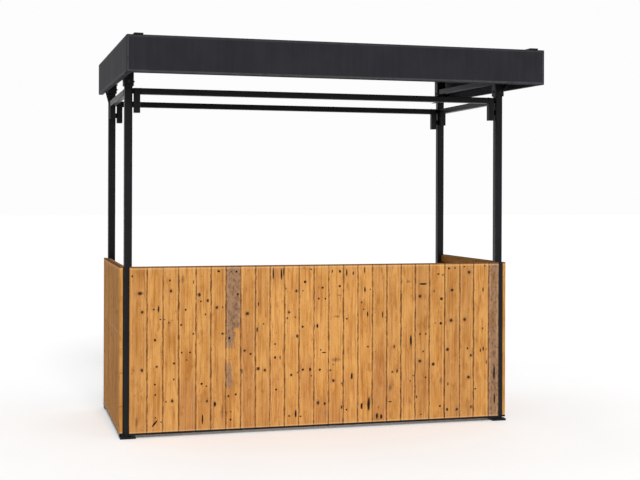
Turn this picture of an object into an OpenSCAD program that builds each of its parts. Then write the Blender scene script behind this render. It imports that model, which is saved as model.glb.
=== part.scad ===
// Market stall: a square-tube steel frame with a plank counter on three sides
// and a flat roof inside a folded sheet fascia. Millimetres, +Z up, front at -Y.
// The origin is on the ground, below the middle of the roof.

/* [Frame] */
// Width over the outer faces of the posts
frame_w = 2600; // [2200:10:3200]
// Depth over the outer faces of the posts
frame_d = 1160; // [1000:10:1500]
// Side of the square posts
post_size = 50; // [44:1:60]
// Height of the posts, which end inside the collars
post_top = 2400; // [2390:1:2420]
// Side of the square foot plates
foot_size = 100; // [80:1:140]
// Thickness of the foot plates
foot_t = 12; // [6:1:16]

/* [Beams] */
// Side of the square beams between the posts
beam_size = 40; // [30:1:44]
// Height of the beams' upper faces
beam_top = 2234; // [2150:1:2238]
// Height of the end brackets on the front and rear beams
long_bracket_h = 158; // [130:1:200]
// Height of the end brackets on the side beams
short_bracket_h = 130; // [130:1:200]
// Gap between a bracket and its post, bridged by two hooks
bracket_gap = 10; // [6:1:20]
// Height of each hook
hook_h = 36; // [20:1:40]
// Thickness of each hook
hook_t = 12; // [6:1:20]

/* [Counter] */
// Height of the counter's upper edge
counter_top = 1094; // [900:1:1200]
// Height of the boards' lower ends
board_bottom = 34; // [30:1:60]
// Thickness of the boards
board_t = 22; // [16:1:28]
// How far the front boards overlap the faces of the front posts
board_lap = 17; // [10:1:30]
// Gap between the side boards and the posts
side_gap = 6; // [2:1:12]
// Thickness of the bars that carry the boards
rail_t = 12; // [8:1:16]
// Height of the battens behind the boards
batten_h = 50; // [40:1:70]
// Thickness of the battens
batten_t = 25; // [20:1:30]
// Distance from the outer battens to the nearer ends of the boards
batten_inset = 4; // [2:1:60]
// Height of the middle of the middle battens
batten_mid = 672; // [400:1:800]

/* [Roof] */
// How far the roof reaches past the front of the posts
front_overhang = 550; // [300:10:700]
// How far the roof reaches past the rear of the posts
rear_overhang = 270; // [100:10:400]
// How far the roof reaches past the sides of the posts
side_overhang = 46; // [40:1:120]
// Height of the fascia's upper edge at the front
fascia_top = 2500; // [2495:1:2510]
// Height of the fascia board
fascia_h = 225; // [180:1:230]
// Width of the fascia's folded lips
lip_w = 30; // [20:1:34]
// Thickness of the fascia sheet
sheet_t = 3; // [2:1:4]
// How much higher the roof is at the rear than at the front
roof_rise = 30; // [0:1:60]
// Depth of the ribs in the roof sheet
rib_depth = 25; // [15:1:30]
// Number of channels in the roof sheet
channels = 13; // [7:1:17]
// Wall thickness of the collars around the post heads
collar_wall = 8; // [4:1:10]
// Height of the front collars' lower ends
front_collar_bottom = 2245; // [2240:1:2260]
// Height of the rear collars' lower ends
rear_collar_bottom = 2290; // [2240:1:2300]
// Height of the roof rails' lower faces, at the roof's front edge
roof_rail_bottom = 2323; // [2310:1:2330]
// Width of the strips that clamp the roof sheet
strip_w = 56; // [40:1:60]
// Height of the strips above the fascia
strip_h = 10; // [5:1:15]

/* [Hidden] */

left = -1;
right = 1;
front = -1;
rear = 1;

steel_black = "#1b1c1e";
roof_grey = "#2e2e33";
pine = "#c98f4e";
batten_pine = "#b98a55";

// The frame is centred on X and the roof on the origin, so the frame sits back a little.
frame_x = frame_w / 2;
frame_y = frame_d / 2;
roof_w = frame_w + 2 * side_overhang;
roof_d = front_overhang + frame_d + rear_overhang;
frame_mid = (front_overhang - rear_overhang) / 2;
roof_x = roof_w / 2;
roof_front = -roof_d / 2;
roof_rear = roof_d / 2;

post_in_x = frame_x - post_size;
post_in_y = frame_y - post_size;
post_mid_x = frame_x - post_size / 2;
post_mid_y = frame_y - post_size / 2;
front_post_y = frame_mid - post_mid_y;
rear_post_y = frame_mid + post_mid_y;
beam_inset = (post_size - beam_size) / 2;
panel_top = counter_top;
front_panel_x = post_in_x + board_lap;
side_panel_in = frame_x + side_gap;
batten_low = [board_bottom + batten_inset, batten_mid - batten_h / 2, panel_top - batten_inset - batten_h];

// Heights in the roof, at its front edge: the rise is added along the depth.
fascia_bottom = fascia_top - fascia_h;
sheet_crest = fascia_top - sheet_t;
sheet_under = sheet_crest - rib_depth - sheet_t;
purlin_h = 40;
edge_purlin_h = 20;
collar_half = post_size / 2 + collar_wall;
sheet_half = roof_x - sheet_t;
crest_margin = 103;
channel_pitch = 2 * (sheet_half - crest_margin) / channels;
channel_floor = 40;
slope = roof_rise / roof_d;
sheet_clear = 1;
collar_cut = 40;
wing_t = 6;
wing_rise = 40;

// Rise of the roof at a distance y from the origin
function rise(y) = slope * (y - roof_front);

// Outline of one channel in the roof sheet, centred on x
function channel(x) = [
    [x - channel_floor - rib_depth, 0], [x - channel_floor, -rib_depth],
    [x + channel_floor, -rib_depth], [x + channel_floor + rib_depth, 0]];

// Upper outline of the roof sheet, from left to right
crest_line = concat([[-sheet_half, 0]],
    [for (i = [0 : channels - 1], p = channel(-sheet_half + crest_margin + channel_pitch * (i + 0.5))) p],
    [[sheet_half, 0]]);
under_line = [for (i = [len(crest_line) - 1 : -1 : 0]) crest_line[i] - [0, sheet_t]];

// A box between two corners
module block(low, high) {
    translate(low)
        cube(high - low);
}

// A bar that follows the roof's slope, between two X, two Y and two heights at the front edge
module sloped_bar(x, y, z) {
    translate([x[0], 0, 0])
        rotate([90, 0, 90])
            linear_extrude(x[1] - x[0])
                polygon([[y[0], z[0] + rise(y[0])], [y[1], z[0] + rise(y[1])],
                    [y[1], z[1] + rise(y[1])], [y[0], z[1] + rise(y[0])]]);
}

// Draws a right-hand piece on either side
module on_side(side) {
    mirror([side == left ? 1 : 0, 0, 0])
        children();
}

// Draws a piece made for the rear of the frame at either end of the frame
module in_row(row) {
    translate([0, frame_mid, 0])
        mirror([0, row == front ? 1 : 0, 0])
            children();
}

module post(side, row) {
    color(steel_black)
        on_side(side) in_row(row)
            block([post_in_x, post_in_y, foot_t], [frame_x, frame_y, post_top]);
}

module foot_plate(side, row) {
    color(steel_black)
        on_side(side) in_row(row)
            translate([post_mid_x - foot_size / 2, post_mid_y - foot_size / 2, 0])
                cube([foot_size, foot_size, foot_t]);
}

module base_rail_front() {
    color(steel_black)
        in_row(front)
            block([-front_panel_x, frame_y, board_bottom - rail_t],
                [front_panel_x, frame_y + board_t, board_bottom]);
}

module base_rail_side(side) {
    color(steel_black)
        on_side(side) in_row(rear)
            block([frame_x, -frame_y, board_bottom - rail_t],
                [side_panel_in + board_t, frame_y, board_bottom]);
}

module front_panel() {
    color(pine)
        in_row(front)
            block([-front_panel_x, frame_y, board_bottom], [front_panel_x, frame_y + board_t, panel_top]);
}

module side_panel(side) {
    color(pine)
        on_side(side) in_row(rear)
            block([side_panel_in, -frame_y, board_bottom], [side_panel_in + board_t, frame_y, panel_top]);
}

module front_battens() {
    color(batten_pine)
        in_row(front)
            for (z = batten_low)
                block([-post_in_x, frame_y - batten_t, z], [post_in_x, frame_y, z + batten_h]);
}

module side_battens(side) {
    color(batten_pine)
        on_side(side) in_row(rear)
            for (z = batten_low)
                block([side_panel_in - batten_t, -post_in_y, z], [side_panel_in, post_in_y, z + batten_h]);
}

module cross_beam(row) {
    end = post_in_x - bracket_gap - beam_size;
    color(steel_black)
        in_row(row)
            block([-end, post_in_y + beam_inset, beam_top - beam_size],
                [end, frame_y - beam_inset, beam_top]);
}

module side_beam(side) {
    end = post_in_y - bracket_gap - beam_size;
    color(steel_black)
        on_side(side) in_row(rear)
            block([post_in_x + beam_inset, -end, beam_top - beam_size],
                [frame_x - beam_inset, end, beam_top]);
}

// A square stub with two hooks towards +X that reach the post, its upper end at the origin
module bracket(height) {
    translate([-bracket_gap - beam_size, -beam_size / 2, -height])
        cube([beam_size, beam_size, height]);
    for (z = [-hook_h, -beam_size - 2 * hook_h - bracket_gap])
        translate([-bracket_gap, -hook_t / 2, z])
            cube([bracket_gap, hook_t, hook_h]);
}

module cross_beam_bracket(side, row) {
    color(steel_black)
        on_side(side) in_row(row)
            translate([post_in_x, post_mid_y, beam_top])
                bracket(long_bracket_h);
}

module side_beam_bracket(side, row) {
    color(steel_black)
        on_side(side) in_row(row)
            translate([post_mid_x, post_in_y, beam_top])
                rotate([0, 0, 90])
                    bracket(short_bracket_h);
}

// A sleeve around a post head, with a wing plate out to the side fascia
module collar(side, row) {
    mid_y = row == front ? front_post_y : rear_post_y;
    x = [post_mid_x - collar_half, post_mid_x + collar_half];
    y = [mid_y - collar_half, mid_y + collar_half];
    bottom = row == front ? front_collar_bottom : rear_collar_bottom;
    wing_low = fascia_bottom + sheet_t + rise(mid_y);
    wing_top = roof_rail_bottom + beam_size + rise(mid_y);
    color(steel_black)
        on_side(side) {
            difference() {
                sloped_bar(x, y, [bottom - collar_cut, sheet_under - purlin_h]);
                block([x[0] - 1, y[0] - 1, 0], [x[1] + 1, y[1] + 1, bottom]);
                block([post_in_x, mid_y - post_size / 2, 0],
                    [frame_x, mid_y + post_size / 2, fascia_top + roof_rise]);
            }
            translate([0, mid_y + wing_t / 2, 0])
                rotate([90, 0, 0])
                    linear_extrude(wing_t)
                        polygon([[x[1], wing_low], [sheet_half, wing_low + wing_rise],
                            [sheet_half, wing_top], [x[1], wing_top]]);
        }
}

// A tube over the posts on one side: a front arm to the fascia and a length between the collars
module roof_rail(side) {
    z = [roof_rail_bottom, roof_rail_bottom + beam_size];
    color(steel_black)
        on_side(side) {
            sloped_bar([post_in_x, frame_x], [roof_front + sheet_t, front_post_y - collar_half], z);
            sloped_bar([post_in_x, frame_x], [front_post_y + collar_half, rear_post_y - collar_half], z);
        }
}

// A tube across the roof under its sheet, from side fascia to side fascia
module purlin(y, height) {
    color(steel_black)
        sloped_bar([-sheet_half, sheet_half], [y - beam_size / 2, y + beam_size / 2],
            [sheet_under - height, sheet_under]);
}

module roof_sheet() {
    angle = atan(slope);
    length = (roof_d - sheet_t - 2 * sheet_clear) / cos(angle);
    rear_y = roof_rear - sheet_clear;
    color(roof_grey)
        translate([0, rear_y, sheet_crest + rise(rear_y)])
            rotate([90 + angle, 0, 0])
                linear_extrude(length)
                    polygon(concat(crest_line, under_line));
}

// The two lips folded inwards along a fascia, between two X and two Y
module lips(x, y) {
    for (z = [fascia_bottom, fascia_top - sheet_t])
        sloped_bar(x, y, [z, z + sheet_t]);
}

module fascia_front() {
    color(roof_grey) {
        sloped_bar([-roof_x, roof_x], [roof_front, roof_front + sheet_t], [fascia_bottom, fascia_top]);
        lips([-sheet_half, sheet_half], [roof_front + sheet_t, roof_front + lip_w]);
    }
}

module fascia_side(side) {
    color(roof_grey)
        on_side(side) {
            sloped_bar([sheet_half, roof_x], [roof_front + sheet_t, roof_rear], [fascia_bottom, fascia_top]);
            lips([roof_x - lip_w, sheet_half], [roof_front + lip_w, roof_rear]);
        }
}

// A strip that clamps the roof sheet and laps over the front fascia's upper lip
module clamp_strip(side) {
    x = [post_mid_x - strip_w / 2, post_mid_x + strip_w / 2];
    lip_rear = roof_front + lip_w;
    color(roof_grey)
        on_side(side) {
            sloped_bar(x, [roof_front, lip_rear], [fascia_top, fascia_top + strip_h]);
            sloped_bar(x, [lip_rear, roof_rear], [sheet_crest, fascia_top + strip_h]);
        }
}

post(left, front);  // post_front_left
post(right, front);  // post_front_right
post(left, rear);  // post_rear_left
post(right, rear);  // post_rear_right
foot_plate(left, front);  // foot_plate_front_left
foot_plate(right, front);  // foot_plate_front_right
foot_plate(left, rear);  // foot_plate_rear_left
foot_plate(right, rear);  // foot_plate_rear_right
base_rail_front();
base_rail_side(left);  // base_rail_left
base_rail_side(right);  // base_rail_right
front_panel();
side_panel(left);  // left_panel
side_panel(right);  // right_panel
front_battens();
side_battens(left);  // left_battens
side_battens(right);  // right_battens
cross_beam(front);  // front_beam
cross_beam(rear);  // rear_beam
side_beam(left);  // left_beam
side_beam(right);  // right_beam
cross_beam_bracket(left, front);  // front_beam_bracket_left
cross_beam_bracket(right, front);  // front_beam_bracket_right
cross_beam_bracket(left, rear);  // rear_beam_bracket_left
cross_beam_bracket(right, rear);  // rear_beam_bracket_right
side_beam_bracket(left, front);  // left_beam_bracket_front
side_beam_bracket(left, rear);  // left_beam_bracket_rear
side_beam_bracket(right, front);  // right_beam_bracket_front
side_beam_bracket(right, rear);  // right_beam_bracket_rear
collar(left, front);  // collar_front_left
collar(right, front);  // collar_front_right
collar(left, rear);  // collar_rear_left
collar(right, rear);  // collar_rear_right
roof_rail(left);  // roof_rail_left
roof_rail(right);  // roof_rail_right
purlin(front_post_y, purlin_h);  // purlin_front
purlin(frame_mid, purlin_h);  // purlin_middle
purlin(rear_post_y, purlin_h);  // purlin_rear
purlin(roof_rear - beam_size / 2, edge_purlin_h);  // purlin_rear_edge
roof_sheet();
fascia_front();
fascia_side(left);  // fascia_left
fascia_side(right);  // fascia_right
clamp_strip(left);  // clamp_strip_left
clamp_strip(right);  // clamp_strip_right
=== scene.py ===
"""Looks of the market stall: reclaimed pine boards on a black tube frame, under a folded sheet roof."""
import math
import random

import bpy
from mathutils import Matrix, Vector
from mathutils.geometry import delaunay_2d_cdt


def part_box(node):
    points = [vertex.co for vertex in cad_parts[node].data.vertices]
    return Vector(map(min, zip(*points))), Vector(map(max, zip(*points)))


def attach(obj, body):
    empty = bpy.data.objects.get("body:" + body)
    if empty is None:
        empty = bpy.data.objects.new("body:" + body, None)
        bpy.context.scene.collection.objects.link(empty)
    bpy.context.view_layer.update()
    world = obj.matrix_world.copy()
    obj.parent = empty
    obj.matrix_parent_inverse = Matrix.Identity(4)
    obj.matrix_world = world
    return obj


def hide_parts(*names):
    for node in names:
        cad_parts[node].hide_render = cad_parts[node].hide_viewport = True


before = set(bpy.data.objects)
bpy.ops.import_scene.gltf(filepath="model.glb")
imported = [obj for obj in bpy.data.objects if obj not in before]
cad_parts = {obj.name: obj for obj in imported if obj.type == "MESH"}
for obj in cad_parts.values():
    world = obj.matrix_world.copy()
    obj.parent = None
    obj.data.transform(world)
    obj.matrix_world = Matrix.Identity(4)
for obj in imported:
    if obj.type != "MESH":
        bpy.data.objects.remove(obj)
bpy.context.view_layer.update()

MM = 0.001
SIDES = ("left", "right")
ROWS = ("front", "rear")

# Driving dimensions, in metres
ROOF_RISE = 30 * MM
ROOF_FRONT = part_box("fascia_front")[0].y
ROOF_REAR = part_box("fascia_left")[1].y
SHEET = 3 * MM
TUBE_CORNER = 5 * MM
PLATE_CORNER = 1.2 * MM
CORNER_STEPS = 3
SIDE_BOARD_WIDTH = 103 * MM
JOINT_GAP = 2.4 * MM
ARRIS = 1.6 * MM
BATTEN_HEIGHT = 50 * MM
MIDDLE_BATTEN = 672 * MM
SLEEVE_WALL = 8 * MM
BRACKET_GAP = 10 * MM
STUB = 40 * MM
HOOK_HEIGHT = 36 * MM
HOOK_WIDTH = 12 * MM
UPPER_COLLAR_BOLT = 2.355
FASCIA_LIP = 30 * MM
STRIP = 10 * MM
PURLINS = ("purlin_front", "purlin_middle", "purlin_rear", "purlin_rear_edge")


def rise(y):
    """How much higher the roof is at y than at its front edge."""
    return ROOF_RISE * (y - ROOF_FRONT) / (ROOF_REAR - ROOF_FRONT)


def on_roof(point):
    """A point given at the heights of the roof's front edge, moved to its place on the slope."""
    return Vector((point[0], point[1], point[2] + rise(point[1])))


def roof_box(node):
    """The corners of a node on the roof, with the slope taken out of its heights."""
    low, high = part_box(node)
    low.z -= rise(low.y)
    high.z -= rise(high.y)
    return low, high


# ---------------------------------------------------------------- mesh making

AXES = {
    "x": lambda u, v, w: Vector((w, u, v)),
    "y": lambda u, v, w: Vector((v, w, u)),
    "z": lambda u, v, w: Vector((u, v, w)),
}


class Shape:
    """Gathers closed solids for one object, with the values that its material reads."""

    def __init__(self, name):
        self.name = name
        self.points = []
        self.faces = []
        self.edges = []
        self.slots = []
        self.values = {}
        self.slot = 0

    def add_face(self, face, edge=0.0):
        self.faces.append(face)
        self.edges.append(edge)
        self.slots.append(self.slot)

    def loft(self, rings, round_sides=(), round_ends=0, closed=False, skip=()):
        """Skins rings of points into a solid. Corners and end bands count as edges, which on the steel get
        chips and a painted highlight.
        """
        base = len(self.points)
        count = len(rings[0])
        bands = len(rings) if closed else len(rings) - 1
        total = count * len(rings)
        for ring in rings:
            self.points.extend(ring)
        for i in range(bands):
            at_end = not closed and (i < round_ends or i >= bands - round_ends)
            for k in range(count):
                if k in skip:
                    continue
                a = i * count + k
                b = i * count + (k + 1) % count
                face = (a, b, (b + count) % total, (a + count) % total)
                wear_and_highlight = 1.0 if at_end or k in round_sides else 0.0
                self.add_face(tuple(base + j for j in face), wear_and_highlight)
        if not closed:
            self.add_face(tuple(range(base + count - 1, base - 1, -1)))
            self.add_face(tuple(range(base + total - count, base + total)))
        return base

    def bar(self, low, high, axis, corner=TUBE_CORNER, bevel=PLATE_CORNER, roof=False, steps=CORNER_STEPS):
        """A bar with rounded corners between two corner points, along one axis."""
        order = {"x": (1, 2, 0), "y": (2, 0, 1), "z": (0, 1, 2)}[axis]
        u0, v0, w0 = (low[i] for i in order)
        u1, v1, w1 = (high[i] for i in order)
        to_world = AXES[axis]
        rings = []
        for w, inset in ((w0, bevel), (w0 + bevel, 0), (w1 - bevel, 0), (w1, bevel)):
            outline = rounded((u0 + inset, v0 + inset), (u1 - inset, v1 - inset), corner, steps)
            ring = [to_world(u, v, w) for u, v in outline]
            rings.append([on_roof(p) for p in ring] if roof else ring)
        self.loft(rings, corner_sides(steps), round_ends=1)

    def turned(self, centre, axis, profile, sides, turn=0.0):
        """A solid turned about an axis through centre, from (radius, height) pairs."""
        rings = []
        for radius, height in profile:
            ring = []
            for k in range(sides):
                angle = turn + 2 * math.pi * k / sides
                offset = AXES[axis](radius * math.cos(angle), radius * math.sin(angle), height)
                ring.append(Vector(centre) + offset)
            if profile[-1][1] < profile[0][1]:
                ring.reverse()
            rings.append(ring)
        self.loft(rings, round_ends=1)

    def weld(self, centre, half, axis, radius=2.6 * MM, roof=False):
        """A rippled bead round a square tube that meets a face square to the axis."""
        path = rounded((-half, -half), (half, half), TUBE_CORNER, 4)
        dense = []
        for k, (u, v) in enumerate(path):
            nu, nv = path[(k + 1) % len(path)]
            parts = max(1, int(math.hypot(nu - u, nv - v) / (4 * MM)))
            dense += [(u + (nu - u) * i / parts, v + (nv - v) * i / parts) for i in range(parts)]
        rings = []
        for k, (u, v) in enumerate(dense):
            length = math.hypot(u, v)
            size = radius * (1.0 + 0.16 * math.sin(2.4 * k) + 0.08 * math.sin(0.7 * k))
            ring = []
            for i in range(6):
                angle = 2 * math.pi * i / 6
                out = size * math.cos(angle)
                spot = AXES[axis](u * (1 + out / length), v * (1 + out / length), -size * math.sin(angle))
                spot += Vector(centre)
                ring.append(on_roof(spot) if roof else spot)
            rings.append(ring)
        self.loft(rings, closed=True)

    def build(self, materials, body="root"):
        """Makes the object and lets it ride on its body."""
        mesh = bpy.data.meshes.new(self.name)
        mesh.from_pydata([tuple(p) for p in self.points], [], self.faces)
        for material in materials:
            mesh.materials.append(material)
        mesh.polygons.foreach_set("material_index", self.slots)
        mesh.polygons.foreach_set("use_smooth", [edge > 0.5 for edge in self.edges])
        # The edge flag gives the steel chipped paint and a painted highlight on its corners
        wear_and_highlight = mesh.attributes.new("edge", "FLOAT", "FACE")
        wear_and_highlight.data.foreach_set("value", self.edges)
        for key, rows in self.values.items():
            layer = mesh.attributes.new(key, "FLOAT_VECTOR", "POINT")
            layer.data.foreach_set("vector", [x for row in rows for x in row])
        mesh.update()
        ob = bpy.data.objects.new(self.name, mesh)
        bpy.context.scene.collection.objects.link(ob)
        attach(ob, body)
        return ob


def rounded(low, high, corner, steps):
    """A rectangle with rounded corners, anticlockwise, as (u, v) points."""
    corner = min(corner, (high[0] - low[0]) / 2.01, (high[1] - low[1]) / 2.01)
    left, right = low[0] + corner, high[0] - corner
    near, far = low[1] + corner, high[1] - corner
    outline = []
    for quarter, (u, v) in enumerate(((right, far), (left, far), (left, near), (right, near))):
        for step in range(steps + 1):
            angle = math.pi / 2 * (quarter + step / steps)
            outline.append((u + corner * math.cos(angle), v + corner * math.sin(angle)))
    return outline


def corner_sides(steps):
    """The sides of a rounded rectangle that lie in its corners."""
    return {k for k in range(4 * (steps + 1)) if k % (steps + 1) < steps}


# ---------------------------------------------------------------- node helpers


class Graph:
    """A material's node tree, made in code."""

    def __init__(self, name):
        self.material = bpy.data.materials.new(name)
        self.material.use_nodes = True
        self.tree = self.material.node_tree
        self.shader = self.tree.nodes["Principled BSDF"]

    def node(self, kind, inputs=None, **settings):
        made = self.tree.nodes.new(kind)
        for key, value in settings.items():
            setattr(made, key, value)
        for key, value in (inputs or {}).items():
            self.feed(made.inputs[key], value)
        return made

    def feed(self, socket, value):
        if isinstance(value, bpy.types.NodeSocket):
            self.tree.links.new(value, socket)
        elif isinstance(value, (tuple, list)) and len(value) == 3 and socket.type == "RGBA":
            socket.default_value = (*value, 1.0)
        else:
            socket.default_value = value

    def math(self, operation, a, b=0.0, c=0.0, clamp=False):
        made = self.node("ShaderNodeMath", {0: a, 1: b, 2: c}, operation=operation, use_clamp=clamp)
        return made.outputs[0]

    def times(self, a, b):
        return self.math("MULTIPLY", a, b)

    def plus(self, a, b):
        return self.math("ADD", a, b)

    def minus(self, a, b):
        return self.math("SUBTRACT", a, b)

    def most(self, a, b):
        return self.math("MAXIMUM", a, b)

    def scaled(self, value, factor, offset, clamp=False):
        """The value times a factor, plus an offset."""
        return self.math("MULTIPLY_ADD", value, factor, offset, clamp)

    def stretched(self, point, factors):
        return self.vector("MULTIPLY", point, factors)

    def vector(self, operation, a, b=(0.0, 0.0, 0.0)):
        made = self.node("ShaderNodeVectorMath", {0: a, 1: b}, operation=operation)
        return made.outputs["Value" if operation in ("LENGTH", "DOT_PRODUCT") else "Vector"]

    def split(self, vector):
        return self.node("ShaderNodeSeparateXYZ", {"Vector": vector}).outputs

    def join(self, x, y, z):
        return self.node("ShaderNodeCombineXYZ", {"X": x, "Y": y, "Z": z}).outputs[0]

    def noise(self, vector, scale, detail=2.0, roughness=0.5):
        inputs = {"Vector": vector, "Scale": scale, "Detail": detail, "Roughness": roughness}
        return self.node("ShaderNodeTexNoise", inputs).outputs["Fac"]

    def cells(self, vector, scale=1.0):
        made = self.node("ShaderNodeTexVoronoi", {"Vector": vector, "Scale": scale})
        return made.outputs["Distance"], made.outputs["Color"]

    def fade(self, value, start, end, low=0.0, high=1.0):
        """Maps value from start..end to low..high, smoothly and clamped."""
        inputs = {"Value": value, "From Min": start, "From Max": end, "To Min": low, "To Max": high}
        return self.node("ShaderNodeMapRange", inputs, interpolation_type="SMOOTHSTEP").outputs["Result"]

    def mix(self, factor, a, b, blend="MIX"):
        """Mixes two colours. The node has several sockets of one name, so they go by number."""
        made = self.node("ShaderNodeMix", data_type="RGBA", blend_type=blend)
        self.feed(made.inputs["Factor"], factor)
        self.feed(made.inputs[6], a)
        self.feed(made.inputs[7], b)
        return made.outputs[2]

    def attribute(self, name, output="Vector"):
        return self.node("ShaderNodeAttribute", attribute_name=name).outputs[output]

    def place(self):
        """The point on the object, in metres in the shared frame."""
        return self.node("ShaderNodeTexCoord").outputs["Object"]

    def upward(self):
        """One on faces that look up, nothing on walls and undersides."""
        normal = self.node("ShaderNodeNewGeometry").outputs["Normal"]
        return self.fade(self.split(normal)["Z"], 0.5, 0.95)

    def sideways_on_end(self):
        """One on faces that look up or down, nothing on upright faces."""
        normal = self.node("ShaderNodeNewGeometry").outputs["Normal"]
        return self.fade(self.math("ABSOLUTE", self.split(normal)["Z"]), 0.6, 0.9)

    def finish(self, colour, roughness, height, distance, strength=1.0):
        self.feed(self.shader.inputs["Base Color"], colour)
        self.feed(self.shader.inputs["Roughness"], roughness)
        bump = self.node("ShaderNodeBump", {"Height": height, "Distance": distance, "Strength": strength})
        self.feed(self.shader.inputs["Normal"], bump.outputs["Normal"])
        return self.material


# ---------------------------------------------------------------- metal


def coated_steel(name, dark, light, dust, rough, streaks, specular, bands=False):
    """Painted steel: orange peel, thin dust on top faces, faint rain streaks, and pale corners that are
    partly scuffed paint and partly a painted highlight.
    """
    g = Graph(name)
    g.shader.inputs["Specular IOR Level"].default_value = specular
    place = g.place()
    stretched = g.stretched(place, (1.0, 1.0, streaks))
    cloud = g.noise(place, 5.0, 3.0, 0.55)
    streak = g.noise(stretched, 42.0, 3.0, 0.6)
    grit = g.noise(place, 260.0, 2.0, 0.6)
    peel = g.noise(place, 620.0, 1.0, 0.5)
    tone = g.plus(g.times(cloud, 0.6), g.times(streak, 0.4))
    colour = g.mix(g.fade(tone, 0.35, 0.68), dark, light)
    dusty = g.times(g.upward(), g.fade(cloud, 0.3, 0.7, 0.25, 0.8))
    dusty = g.scaled(g.fade(streak, 0.6, 0.8), 0.05, dusty)
    colour = g.mix(dusty, colour, dust)
    edge = g.attribute("edge", "Fac")
    # Pale corners: partly scuffed paint, partly a painted highlight along the rounded edges
    scuff_and_highlight = g.times(edge, g.fade(g.noise(place, 34.0, 4.0, 0.65), 0.42, 0.72, 0.12, 0.9))
    colour = g.mix(g.times(scuff_and_highlight, 0.55), colour, tuple(6.0 * c for c in light))
    chips = g.times(edge, g.fade(g.noise(place, 90.0, 3.0, 0.6), 0.70, 0.76))
    colour = g.mix(chips, colour, (0.060, 0.048, 0.040))
    # The fascia's paint gets painted highlights inside its folds and painted shade along its edges
    if bands:
        colour = fold_highlights_and_edge_shade(g, place, colour)
    roughness = g.scaled(cloud, 0.18, rough - 0.09)
    roughness = g.scaled(dusty, 0.3, roughness)
    roughness = g.scaled(grit, 0.06, roughness, clamp=True)
    height = g.scaled(grit, 0.35, peel)
    return g.finish(colour, roughness, height, 0.12 * MM, 0.35)


# The pale colour of the painted highlights inside the fascia's folds
FOLD_HIGHLIGHT = (0.046, 0.046, 0.049)


def fold_highlights_and_edge_shade(g, place, colour):
    """Painted highlights as pale bands just inside the folds of the fascia, and painted shade as dark lines
    along its very edges.
    """
    low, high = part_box("fascia_front")
    x, y, z = g.split(place)
    slope = ROOF_RISE / (ROOF_REAR - ROOF_FRONT)
    level = g.minus(z, g.times(g.minus(y, ROOF_FRONT), slope))
    above = g.minus(level, low.z)
    below = g.minus(high.z, level)
    inside = g.minus(high.x, g.math("ABSOLUTE", x))
    behind = g.minus(y, low.y)
    corner = g.most(inside, behind)
    # Painted highlights inside the bottom fold, at the corners and, half as strong, inside the top fold
    highlight = g.most(ridge(g, above, 4 * MM, 15 * MM), ridge(g, corner, 3 * MM, 11 * MM))
    highlight = g.most(highlight, g.times(ridge(g, below, 6 * MM, 14 * MM), 0.5))
    highlight = g.times(highlight, g.fade(g.noise(place, 14.0, 3.0, 0.6), 0.3, 0.6, 0.5, 1.0))
    colour = g.mix(g.times(highlight, 0.85), colour, FOLD_HIGHLIGHT)
    # Painted shade: near-black lines along the fascia's very edges
    edge = g.math("MINIMUM", g.math("MINIMUM", above, below), corner)
    return g.mix(g.fade(edge, 5 * MM, 1.5 * MM, 0.0, 0.9), colour, (0.002, 0.002, 0.002))


def ridge(g, value, start, end):
    """One between two values, with soft sides."""
    soft = 2 * MM
    return g.times(g.fade(value, start - soft, start), g.fade(value, end + soft, end))


def plated_steel(name, bright, dull):
    """Zinc on nails, screws and bolts, dulled in patches."""
    g = Graph(name)
    place = g.place()
    patches = g.noise(place, 240.0, 3.0, 0.6)
    spots = g.noise(place, 900.0, 2.0, 0.6)
    colour = g.mix(g.fade(patches, 0.35, 0.65), bright, dull)
    colour = g.mix(g.fade(spots, 0.62, 0.74), colour, (0.16, 0.09, 0.05))
    g.shader.inputs["Metallic"].default_value = 0.85
    roughness = g.scaled(patches, 0.35, 0.22)
    return g.finish(colour, roughness, spots, 0.1 * MM, 0.4)


# ---------------------------------------------------------------- wood

HONEY = (0.430, 0.196, 0.045)
STRAW = (0.530, 0.270, 0.078)
LATE = (0.265, 0.092, 0.016)
ROSY = (0.350, 0.150, 0.050)
GREYED = (0.240, 0.138, 0.082)
GREY_DARK = (0.058, 0.030, 0.019)
KNOT = (0.038, 0.014, 0.006)
KNOT_RIM = (0.140, 0.052, 0.016)
HALO = (0.230, 0.098, 0.030)
IRON = (0.009, 0.004, 0.003)
# Dark brown of dirt and worm holes, also used as painted shade in the joints between boards
GRIME_AND_SHADE = (0.075, 0.030, 0.010)
JOINT_BROWN = (0.115, 0.042, 0.010)
LINE_HIGHLIGHT = (0.600, 0.370, 0.170)
END_GRAIN = (0.33, 0.20, 0.12)
# How far apart in the noise two boards lie whose seeds differ by one, in metres
SEED_SPREAD = (7.31, 3.17, 11.9)


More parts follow.
